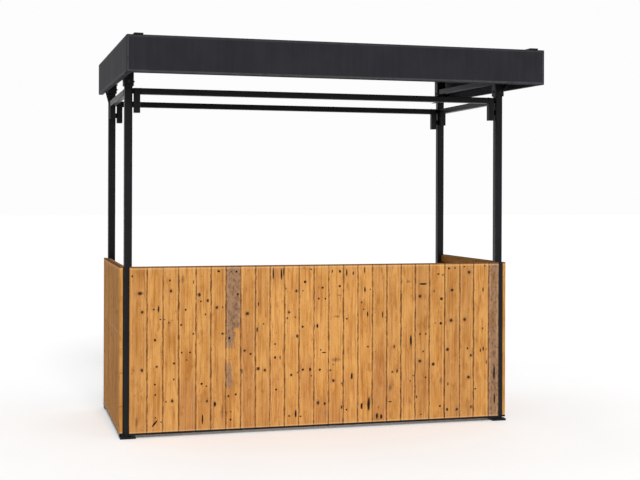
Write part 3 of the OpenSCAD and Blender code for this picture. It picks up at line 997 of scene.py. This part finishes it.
def drawn_marks(rng, half, length):
    """Marks drawn by lot, for the boards of the side panels."""
    marks = []
    for _ in range(rng.randint(4, 8)):
        kind = rng.choices(("nail", "knot", "slot", "smear"), (6, 4, 1, 1))[0]
        size = {"nail": 4, "knot": rng.uniform(4, 9), "slot": 3.5, "smear": 7}[kind]
        tall = size * {"nail": 1.1, "knot": 1.0, "slot": 4.0, "smear": 2.5}[kind]
        height = 100 * rng.uniform(0.03, length - 0.03)
        offset = 100 * rng.uniform(-half, half)
        marks.append((kind, height, offset, size, tall))
    return tuple(marks)


def drawn_stains(rng):
    """A few rosy or greyed stretches drawn by lot."""
    stains = []
    for _ in range(rng.randint(0, 2)):
        start = rng.uniform(0, 80)
        kind = rng.choice(("rose", "rose", "grey"))
        end = start + rng.uniform(10, 35)
        side = rng.choice((-1, 0, 1))
        stains.append((kind, start, end, side, rng.uniform(0.2, 0.4)))
    return tuple(stains)


def row_of_boards(name, node, span, place_at, material, nails, marks_of, rng):
    """Stands boards side by side over a span, with their nails, in place of a CAD slab."""
    low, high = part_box(node)
    length = high.z - low.z
    shape = Shape(name)
    shape.values = {"grain": [], "look": [], "wear_and_shade": [], "mark": [], "size": []}
    count = len(span) - 1
    gap_at = [0.0] + [JOINT_GAP * rng.uniform(0.25, 1.15) for _ in range(count - 1)] + [0.0]
    for i in range(count):
        gaps = (gap_at[i], gap_at[i + 1])
        width = span[i + 1] - span[i] - sum(gaps) / 2
        middle = (span[i] + gaps[0] / 2 + span[i + 1] - gaps[1] / 2) / 2
        look, marks, stains = marks_of(i, width / 2, length)
        place = place_at(middle)
        joints = (i > 0, i < count - 1)
        board = Board(place, width, length, BOARD_THICKNESS, joints, look, marks, stains)
        board.add_to(shape, rng)
        for height, chance in zip(nail_heights(low.z), NAIL_CHANCES):
            for side in (-1, 1):
                if rng.random() < chance:
                    u = side * (width / 2 - rng.uniform(14, 26) * MM)
                    point = place(u, 0.0005, height + rng.uniform(-8, 8) * MM)
                    add_nail(nails, point, place(u, -0.001, height), rng)
    ob = shape.build([material])
    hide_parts(node)


def nail_heights(bottom):
    """Heights of the three nail rows above the boards' lower ends."""
    low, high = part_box("front_battens")
    return [z - bottom for z in (low.z + BATTEN_HEIGHT / 2, MIDDLE_BATTEN, high.z - BATTEN_HEIGHT / 2)]


def add_nail(shape, point, ahead, rng):
    """A small round head, a little proud of the board."""
    outward = Vector((ahead.x - point.x, ahead.y - point.y, 0.0)).normalized()
    size = rng.uniform(2.0, 2.7) * MM
    rings = []
    side = Vector((0, 0, 1)).cross(outward)
    for factor, height in ((1.0, -1.5), (1.0, 0.9), (0.75, 1.5), (0.3, 1.75)):
        radius = factor * size
        ring = []
        for k in range(8):
            angle = 2 * math.pi * k / 8
            spot = point + side * radius * math.cos(angle)
            spot += Vector((0, 0, radius * math.sin(angle))) + outward * height * MM
            ring.append(spot)
        rings.append(ring)
    shape.loft(rings, round_ends=1)


def front_look(i, _half, _length):
    """The look, the marks and the stains of a front board."""
    look = (0.137 + 0.0371 * i, *FRONT_LOOKS.get(i, ORDINARY_LOOK))
    return look, FRONT_MARKS.get(i, ()), FRONT_STAINS.get(i, ())


def make_boards(rng, wood, side_wood, zinc):
    """All three rows of boards and the nails that hold them."""
    nails = Shape("board_nails")
    low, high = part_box("front_panel")
    edges = [low.x]
    for i in range(FULL_BOARDS):
        edges.append(edges[-1] + front_board_width(i))
    edges.append(high.x)

    def place_front(middle):
        return lambda u, v, w: Vector((middle + u, low.y + BEHIND_FACE + v, low.z + w))

    row_of_boards("front_boards", "front_panel", edges, place_front, wood, nails, front_look, rng)

    def drawn_look(_, half, length):
        look = (rng.random(), rng.uniform(0.9, 1.05), rng.uniform(0.0, 0.3))
        return look, drawn_marks(rng, half, length), drawn_stains(rng)

    for side, sign in (("left", -1), ("right", 1)):
        low_s, high_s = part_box(side + "_panel")
        outer = low_s.x if sign < 0 else high_s.x
        depth = high_s.y - low_s.y
        count = round(depth / SIDE_BOARD_WIDTH)
        middle_y = (low_s.y + high_s.y) / 2
        edges = [-depth / 2 + depth * i / count for i in range(count + 1)]

        def place_side(middle, sign=sign, outer=outer, base=low_s.z, middle_y=middle_y):
            def place(u, v, w):
                return Vector((outer - sign * (BEHIND_FACE + v), middle_y + sign * (middle + u), base + w))
            return place

        node = side + "_panel"
        row_of_boards(side + "_boards", node, edges, place_side, side_wood, nails, drawn_look, rng)
    nails.build([zinc])


def make_battens(rng, material):
    """The battens behind the boards, sawn and a little uneven."""
    for name in ("front_battens", "left_battens", "right_battens"):
        low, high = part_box(name)
        along_x = name.startswith("front")
        shape = Shape(name + "_sawn")
        shape.values = {"grain": [], "look": [], "wear_and_shade": [], "mark": [], "size": []}
        for z in (low.z, MIDDLE_BATTEN - BATTEN_HEIGHT / 2, high.z - BATTEN_HEIGHT):
            seed = rng.random()
            start = len(shape.points)
            top = (high.x, high.y, z + BATTEN_HEIGHT)
            shape.bar((low.x, low.y, z), top, "x" if along_x else "y", 1.5 * MM, 1.0 * MM)
            for p in shape.points[start:]:
                along, across = (p.x, p.y) if along_x else (p.y, p.x)
                shape.values["grain"].append((p.z - z - BATTEN_HEIGHT / 2, across, along))
                shape.values["look"].append((seed, 0.95, 0.1))
                shape.values["wear_and_shade"].append((0.1, 0.0, 0.0))
                shape.values["mark"].append((0.0, 0.0, 0.0))
                shape.values["size"].append((1.0, 10.0, 0.0))
        ob = shape.build([material])
        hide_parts(name)


# ---------------------------------------------------------------- frame


def steel(name, slot="frame_steel"):
    """Starts a steel piece that stands for the CAD node of the same name."""
    shape = Shape(name + "_steel")
    shape.node = name
    shape.finish_slot = slot
    return shape


def put(shape, materials):
    """Builds a steel piece in place of its CAD node."""
    ob = shape.build(materials)
    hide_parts(shape.node)


def bolt(shape, point, axis, outward, across=13 * MM):
    """A washer and a hexagon head on a face; outward is 1 or -1 along the axis."""
    radius = across / 2 / math.cos(math.pi / 6)
    washer = [(0.86 * across, 0.0), (0.86 * across, 1.4 * MM), (0.80 * across, 1.8 * MM)]
    head = [(radius, 1.6 * MM), (radius, 6.2 * MM), (radius * 0.88, 7.4 * MM)]
    for profile, sides in ((washer, 18), (head, 6)):
        shape.turned(point, axis, [(r, outward * h) for r, h in profile], sides, 0.3)


def make_posts(coat, zinc):
    """The posts, each with a weld round its foot, a flat for the side boards and a foot plate."""
    for row in ROWS:
        for side in SIDES:
            name = f"post_{row}_{side}"
            low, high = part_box(name)
            shape = steel(name)
            shape.bar(low, high, "z", TUBE_CORNER, 1.5 * MM)
            middle = (low + high) / 2
            shape.weld((middle.x, middle.y, low.z + 1.0 * MM), (high.x - low.x) / 2, "z", 3.0 * MM)
            add_flat(shape, side, low, high)
            put(shape, [coat])
            make_foot(f"foot_plate_{row}_{side}", coat, zinc)


def add_flat(shape, side, post_low, post_high):
    """The flat welded to a post, to which the side boards are screwed."""
    panel_low, panel_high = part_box(side + "_panel")
    inset = 4 * MM
    if side == "left":
        span = (panel_high.x + 0.2 * MM, post_low.x + 1 * MM)
    else:
        span = (post_high.x - 1 * MM, panel_low.x - 0.2 * MM)
    low = (span[0], post_low.y + inset, panel_low.z)
    high = (span[1], post_high.y - inset, panel_high.z - 12 * MM)
    shape.bar(low, high, "z", PLATE_CORNER, PLATE_CORNER)


def make_foot(name, coat, zinc):
    """A foot plate with rounded corners and an anchor bolt beside each corner of the post."""
    low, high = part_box(name)
    shape = steel(name)
    shape.bar(low, high, "z", 7 * MM, 1.2 * MM)
    shape.slot = 1
    inset = 13 * MM
    for x in (low.x + inset, high.x - inset):
        for y in (low.y + inset, high.y - inset):
            bolt(shape, (x, y, high.z - 0.2 * MM), "z", 1, 8 * MM)
    put(shape, [coat, zinc])


def make_base_rails(coat):
    """The thin bars that carry the boards."""
    for name, axis in (("base_rail_front", "x"), ("base_rail_left", "y"), ("base_rail_right", "y")):
        low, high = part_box(name)
        shape = steel(name)
        shape.bar(low, high, axis, 1.2 * MM, 1.0 * MM)
        put(shape, [coat])


def make_beams(coat):
    """The four beams, welded between the stubs that hang on the posts."""
    for name, axis in (("front_beam", "x"), ("rear_beam", "x"), ("left_beam", "y"), ("right_beam", "y")):
        low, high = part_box(name)
        shape = steel(name)
        shape.bar(low, high, axis, 4 * MM, 0.3 * MM)
        middle = (low + high) / 2
        index = 0 if axis == "x" else 1
        for end, turn in ((low[index], 1), (high[index], -1)):
            spot = middle.copy()
            spot[index] = end + turn * 1.0 * MM
            shape.weld(spot, (high.z - low.z) / 2, axis, 2.2 * MM)
        put(shape, [coat])


def make_brackets(coat):
    """A stub at each beam end, with two hooks into slots in the post."""
    for beam in ("front_beam", "rear_beam", "left_beam", "right_beam"):
        along_x = beam.startswith(ROWS)
        for end, sign in zip(SIDES if along_x else ROWS, (-1, 1)):
            add_bracket(f"{beam}_bracket_{end}", along_x, sign, coat)


def add_bracket(name, along_x, sign, coat):
    """One stub and its hooks; sign is -1 at the low end of the beam's axis and 1 at the high end."""
    low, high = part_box(name)
    index, axis = (0, "x") if along_x else (1, "y")
    start, end = low[index], high[index]
    into_post = 1 * MM
    if sign < 0:
        stub_span = (start + BRACKET_GAP, end)
        hook_span = (start - into_post, start + BRACKET_GAP + into_post)
    else:
        stub_span = (start, end - BRACKET_GAP)
        hook_span = (end - BRACKET_GAP - into_post, end + into_post)
    centre = (low[1 - index] + high[1 - index]) / 2
    shape = steel(name)

    def corner(along, across, z):
        return (along, across, z) if along_x else (across, along, z)

    near, far = centre - STUB / 2, centre + STUB / 2
    shape.bar(corner(stub_span[0], near, low.z), corner(stub_span[1], far, high.z), "z", 4 * MM, 1.2 * MM)
    near, far = centre - HOOK_WIDTH / 2, centre + HOOK_WIDTH / 2
    for z in (high.z - HOOK_HEIGHT, low.z + HOOK_HEIGHT):
        top = z + HOOK_HEIGHT
        shape.bar(corner(hook_span[0], near, z), corner(hook_span[1], far, top), axis, 2.0 * MM, 0.8 * MM)
    put(shape, [coat])


def make_collars(coat, zinc):
    """The sleeves round the post heads, each with a wing and bolts, and on the left side a gusset."""
    for row in ROWS:
        for side, sign in (("left", -1), ("right", 1)):
            name = f"collar_{row}_{side}"
            low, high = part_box(name)
            shape = steel(name)
            outer = abs(high.x if sign > 0 else low.x)
            post_low, post_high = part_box(f"post_{row}_{side}")
            x0, x1 = post_low.x - SLEEVE_WALL, post_high.x + SLEEVE_WALL
            y0, y1 = post_low.y - SLEEVE_WALL, post_high.y + SLEEVE_WALL
            add_sleeve(shape, (x0, y0), (x1, y1), low.z, roof_box("purlin_front")[0].z)
            face = x1 if sign > 0 else -x0
            middle_y = (y0 + y1) / 2
            add_wing(shape, sign, face, outer, middle_y)
            if side == "left":
                reach, drop = (22 * MM, 82 * MM) if row == "rear" else (12 * MM, 40 * MM)
                add_gusset(shape, sign, face - SLEEVE_WALL, middle_y, reach, drop)
            shape.slot = 1
            outer_y, outward = (y0, -1) if row == "front" else (y1, 1)
            inner_x = x0 if sign > 0 else x1
            for z in (low.z + 30 * MM, UPPER_COLLAR_BOLT):
                bolt(shape, ((x0 + x1) / 2, outer_y, z), "y", outward, 11 * MM)
                bolt(shape, (inner_x, middle_y, z), "x", -sign, 11 * MM)
            put(shape, [coat, zinc])


def add_sleeve(shape, low, high, bottom, top):
    """A square sleeve whose upper end follows the roof."""
    def outline(inset, corner):
        near = (low[0] + inset, low[1] + inset)
        far = (high[0] - inset, high[1] - inset)
        return rounded(near, far, corner, CORNER_STEPS)

    def at_bottom(inset, corner, z):
        return [Vector((u, v, z)) for u, v in outline(inset, corner)]

    def at_top(inset, corner):
        return [on_roof((u, v, top)) for u, v in outline(inset, corner)]

    bevel = 1 * MM
    bore = SLEEVE_WALL - 0.1 * MM
    outer_corner, inner_corner = 6 * MM, 5 * MM
    rings = [
        at_bottom(bore, inner_corner, bottom),
        at_bottom(bevel, inner_corner, bottom),
        at_bottom(0, outer_corner, bottom + bevel),
        at_top(0, outer_corner),
        at_top(bore, inner_corner),
    ]
    shape.loft(rings, corner_sides(CORNER_STEPS), closed=True)


def signed_area(outline):
    """Twice the area of an outline, more than nothing where it runs anticlockwise."""
    return sum(a[0] * b[1] - b[0] * a[1] for a, b in zip(outline, outline[1:] + outline[:1]))


def add_plate(shape, outline, y, thickness):
    """An upright plate across the stall's width, from an outline of (x, z) points."""
    if signed_area(outline) > 0:
        outline = outline[::-1]
    centre = [sum(p[i] for p in outline) / len(outline) for i in (0, 1)]
    rings = []
    for offset, inset in ((-0.5, 1), (-0.36, 0), (0.36, 0), (0.5, 1)):
        ring = []
        for x, z in outline:
            reach = math.hypot(x - centre[0], z - centre[1])
            factor = 1.0 - inset * 0.9 * MM / reach
            inset_x = centre[0] + (x - centre[0]) * factor
            inset_z = centre[1] + (z - centre[1]) * factor
            ring.append(Vector((inset_x, y + offset * thickness, inset_z)))
        rings.append(ring)
    shape.loft(rings, round_ends=1)


def add_wing(shape, sign, face, outer, y):
    """The plate from a sleeve out to the side fascia."""
    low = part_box("fascia_front")[0].z + SHEET + rise(y)
    top = roof_box("roof_rail_left")[1].z + rise(y)
    near, far = sign * face, sign * outer
    add_plate(shape, [(near, low), (far, low + 40 * MM), (far, top), (near, top)], y, 6 * MM)


def add_gusset(shape, sign, post_face, y, reach, drop):
    """The small plate that tapers from the wing down to the post."""
    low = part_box("fascia_front")[0].z + rise(y)
    tip = sign * (post_face + reach)
    root = sign * post_face
    top = low + 20 * MM
    add_plate(shape, [(root, low - drop), (tip, low), (tip, top), (root, top)], y, 8 * MM)


# ---------------------------------------------------------------- roof


def make_roof_tubes(coat):
    """The rails over the posts and the purlins across them."""
    for side in SIDES:
        name = f"roof_rail_{side}"
        low, high = roof_box(name)
        shape = steel(name)
        front_low, front_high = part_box(f"post_front_{side}")
        rear_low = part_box(f"post_rear_{side}")[0]
        arm = (low.y, front_low.y - SLEEVE_WALL)
        rail = (front_high.y + SLEEVE_WALL, rear_low.y - SLEEVE_WALL)
        for y0, y1 in (arm, rail):
            shape.bar((low.x, y0, low.z), (high.x, y1, high.z), "y", 4 * MM, 0.4 * MM, roof=True)
            for y in (y0, y1):
                if y > low.y + SLEEVE_WALL:
                    inward = 1.0 * MM if y == y0 else -1.0 * MM
                    add_seam(shape, (low.x, y + inward, low.z), (high.x, y + inward, high.z))
        put(shape, [coat])
    for name in PURLINS:
        low, high = roof_box(name)
        shape = steel(name)
        shape.bar(low, high, "x", 4 * MM, 0.8 * MM, roof=True)
        put(shape, [coat])


def add_seam(shape, low, high):
    """A weld bead round the end of a sloped rail."""
    rings = []
    path = rounded((low[0], low[2]), (high[0], high[2]), 4 * MM, 3)
    for k, (x, z) in enumerate(path):
        size = 2.2 * MM * (1.0 + 0.15 * math.sin(2.1 * k))
        cx, cz = (low[0] + high[0]) / 2, (low[2] + high[2]) / 2
        length = math.hypot(x - cx, z - cz)
        ring = []
        for i in range(6):
            angle = 2 * math.pi * i / 6
            out = 1 + size * math.cos(angle) / length
            ring.append(on_roof((cx + (x - cx) * out, low[1] + size * math.sin(angle), cz + (z - cz) * out)))
        rings.append(ring)
    shape.loft(rings, closed=True)


def bent(points, radius, steps=3):
    """An open line of (u, v) points with its corners turned into small bends."""
    line = [points[0]]
    for before, corner, after in zip(points, points[1:], points[2:]):
        c = Vector(corner)
        start = c + (Vector(before) - c).normalized() * radius
        end = c + (Vector(after) - c).normalized() * radius
        for step in range(steps + 1):
            t = step / steps
            line.append(tuple((1 - t) ** 2 * start + 2 * t * (1 - t) * c + t * t * end))
    line.append(points[-1])
    return line


def folded(line, thickness):
    """The section of a sheet: a line and its offset to the right, as one closed outline."""
    other = []
    for i, point in enumerate(line):
        before, after = Vector(line[max(i - 1, 0)]), Vector(line[min(i + 1, len(line) - 1)])
        tangent = (after - before).normalized()
        other.append((point[0] + tangent.y * thickness, point[1] - tangent.x * thickness))
    return line + other[::-1]


CHANNELS = 13
CHANNEL_FLOOR = 40 * MM
RIB_DEPTH = 25 * MM
CREST_MARGIN = 103 * MM


def make_roof_sheet(paint, zinc):
    """The ribbed sheet and a screw in each channel at each purlin."""
    low, high = roof_box("roof_sheet")
    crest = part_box("fascia_front")[1].z - SHEET
    half = high.x
    pitch = 2 * (half - CREST_MARGIN) / CHANNELS
    middles = [-half + CREST_MARGIN + pitch * (i + 0.5) for i in range(CHANNELS)]
    line = [(-half, crest)]
    for x in middles:
        line += [(x - CHANNEL_FLOOR - RIB_DEPTH, crest), (x - CHANNEL_FLOOR, crest - RIB_DEPTH),
                 (x + CHANNEL_FLOOR, crest - RIB_DEPTH), (x + CHANNEL_FLOOR + RIB_DEPTH, crest)]
    line.append((half, crest))
    section = folded(bent(line, 5 * MM), 2.4 * MM)
    shape = steel("roof_sheet", "roof_steel")
    rings = []
    stations = 8
    for i in range(stations + 1):
        y = high.y - (high.y - low.y) * i / stations
        rings.append([on_roof((x, y, z)) for x, z in section])
    if signed_area(section) <= 0:
        rings = [ring[::-1] for ring in rings]
    shape.loft(rings)
    shape.slot = 1
    for purlin in PURLINS:
        plow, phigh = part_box(purlin)
        y = (plow.y + phigh.y) / 2
        for x in middles:
            spot = on_roof((x, y, crest - RIB_DEPTH - 0.2 * MM))
            bolt(shape, spot, "z", 1, 8 * MM)
    put(shape, [paint, zinc])


def fascia_section():
    """The fascia's section as (inwards, height) at the roof's front edge."""
    low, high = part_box("fascia_front")
    line = [(FASCIA_LIP, low.z), (0.0, low.z), (0.0, high.z), (FASCIA_LIP, high.z)]
    return folded(bent(line, 5 * MM, 4), SHEET)


def make_fascias(paint):
    """Three folded lengths of sheet round the front and sides of the roof."""
    section = fascia_section()
    low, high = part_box("fascia_front")
    front_y, half = low.y, high.x
    shape = steel("fascia_front", "roof_steel")
    rings = []
    count = 12
    places = [-half + 2 * half * i / count for i in range(count + 1)]
    for x in places:
        ring = []
        for inward, z in section:
            reach = min(abs(x), half - inward)
            ring.append(on_roof((math.copysign(reach, x), front_y + inward, z)))
        rings.append(ring)
    shape.loft(orient(rings), smooth_bends(section))
    put(shape, [paint])
    for side, sign in (("left", -1), ("right", 1)):
        shape = steel(f"fascia_{side}", "roof_steel")
        rings = []
        gap = 0.6 * MM
        for i in range(count + 1):
            ring = []
            for inward, z in section:
                start = front_y + inward + gap
                y = start + (ROOF_REAR - start) * i / count
                ring.append(on_roof((sign * (half - inward), y, z)))
            rings.append(ring)
        shape.loft(orient(rings), smooth_bends(section))
        put(shape, [paint])


def smooth_bends(section):
    """The sides of a folded section that are short enough to lie in a bend."""
    pairs = zip(section, section[1:] + section[:1])
    return {k for k, (a, b) in enumerate(pairs) if math.dist(a, b) < 2.6 * MM and math.dist(a, b) != SHEET}


def orient(rings):
    """Turns the rings so that the solid's faces look outwards."""
    ring = rings[0]
    centre = sum(ring, Vector()) / len(ring)
    normal = Vector()
    for a, b in zip(ring, ring[1:] + ring[:1]):
        normal += (a - centre).cross(b - centre)
    along = sum(rings[1], Vector()) / len(ring) - centre
    return rings if normal.dot(along) > 0 else [r[::-1] for r in rings]


def make_clamp_strips(paint):
    """The two strips over the roof sheet."""
    for side in SIDES:
        name = f"clamp_strip_{side}"
        low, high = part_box(name)
        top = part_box("fascia_front")[1].z
        shape = steel(name, "roof_steel")
        start = (low.x, low.y, top + 0.2 * MM)
        end = (high.x, high.y, top + STRIP)
        shape.bar(start, end, "y", 2.5 * MM, 1.5 * MM, roof=True)
        put(shape, [paint])


# ---------------------------------------------------------------- stage


def add_sun(name, azimuth, elevation, strength, spread):
    """A wide soft light from the front; the angles are in degrees, and azimuth 0 is straight ahead."""
    light = bpy.data.lights.new(name, "SUN")
    light.energy = strength
    light.angle = math.radians(spread)
    ob = bpy.data.objects.new(name, light)
    turn = Matrix.Rotation(math.radians(azimuth), 4, "Z")
    tilt = Matrix.Rotation(math.radians(90 - elevation), 4, "X")
    ob.matrix_world = turn @ tilt
    ob.visible_glossy = False
    bpy.context.scene.collection.objects.link(ob)


def make_world():
    """A white room that lights softly from all around."""
    world = bpy.data.worlds.new("studio")
    bpy.context.scene.world = world
    world.use_nodes = True
    tree = world.node_tree
    background = tree.nodes["Background"]
    path = tree.nodes.new("ShaderNodeLightPath")
    level = tree.nodes.new("ShaderNodeMapRange")
    level.inputs["To Min"].default_value = 0.62
    level.inputs["To Max"].default_value = 0.98
    tree.links.new(path.outputs["Is Camera Ray"], level.inputs["Value"])
    tree.links.new(level.outputs["Result"], background.inputs["Strength"])
    background.inputs["Color"].default_value = (1.0, 1.0, 1.0, 1.0)


def make_floor():
    """A wide pale floor just under the feet."""
    g = Graph("pale_floor")
    cloud = g.noise(g.place(), 0.8, 3.0, 0.5)
    grain = g.noise(g.place(), 90.0, 2.0, 0.5)
    colour = g.mix(g.fade(cloud, 0.3, 0.7), (0.96, 0.96, 0.96), (0.94, 0.94, 0.94))
    material = g.finish(colour, g.scaled(grain, 0.1, 0.75), grain, 0.1 * MM, 0.2)
    mesh = bpy.data.meshes.new("floor")
    reach = 90.0
    z = -0.5 * MM
    corners = [(-reach, -reach, z), (reach, -reach, z), (reach, reach, z), (-reach, reach, z)]
    mesh.from_pydata(corners, [], [(0, 1, 2, 3)])
    mesh.materials.append(material)
    floor = bpy.data.objects.new("floor", mesh)
    bpy.context.scene.collection.objects.link(floor)


EYE = (-2.0790, -8.0, 1.5374)


def make_camera():
    """A standing eye to the left of the middle, with a long lens; the angles are in radians."""
    camera = bpy.data.cameras.new("camera")
    camera.sensor_width = 36.0
    camera.lens = 66.34
    camera.shift_y = -0.0628
    camera.clip_end = 200.0
    ob = bpy.data.objects.new("camera", camera)
    yaw, pitch, roll = 0.2671, -0.0018, 0.0034
    ob.matrix_world = (
        Matrix.Translation(EYE)
        @ Matrix.Rotation(-yaw, 4, "Z")
        @ Matrix.Rotation(math.pi / 2 + pitch, 4, "X")
        @ Matrix.Rotation(roll, 4, "Z")
    )
    bpy.context.scene.collection.objects.link(ob)
    bpy.context.scene.camera = ob


def main():
    """Makes everything; the seed fixes all that is drawn by lot."""
    rng = random.Random(7)
    coat = coated_steel(
        "black_coat", (0.0030, 0.0030, 0.0038), (0.0055, 0.0056, 0.0070), (0.022, 0.022, 0.023),
        rough=0.34, streaks=0.06, specular=0.22)
    # The fascia paint, with painted highlights in its folds and painted shade along its edges
    paint = coated_steel(
        "roof_paint", (0.0138, 0.0134, 0.0172), (0.0182, 0.0176, 0.0218), (0.045, 0.045, 0.045),
        rough=0.62, streaks=0.05, specular=0.12, bands=True)
    sheet = coated_steel(
        "roof_sheet_paint", (0.0120, 0.0120, 0.0140), (0.0200, 0.0200, 0.0220), (0.050, 0.050, 0.050),
        rough=0.50, streaks=1.0, specular=0.30)
    zinc = plated_steel("zinc", (0.62, 0.62, 0.62), (0.36, 0.36, 0.36))
    dark_zinc = plated_steel("dark_zinc", (0.05, 0.05, 0.055), (0.03, 0.03, 0.03))
    wood = pine("oiled_pine", 0.4)
    # The side boards and the battens are darker copies of the same pine, as painted shade
    side_wood = pine("oiled_pine_side", 1.0, shade=0.90, specular=0.02, rough=0.58)
    batten_wood = pine("sawn_pine", 0.8, shade=0.70, specular=0.02, rough=0.60)

    make_boards(rng, wood, side_wood, zinc)
    make_battens(rng, batten_wood)
    make_posts(coat, dark_zinc)
    make_base_rails(coat)
    make_beams(coat)
    make_brackets(coat)
    make_collars(coat, dark_zinc)
    make_roof_tubes(coat)
    make_roof_sheet(sheet, zinc)
    make_fascias(paint)
    make_clamp_strips(coat)

    make_world()
    make_floor()
    make_camera()
    add_sun("key", -8, 34, 2.85, 26)
    bpy.context.scene.view_settings.view_transform = "Standard"


main()
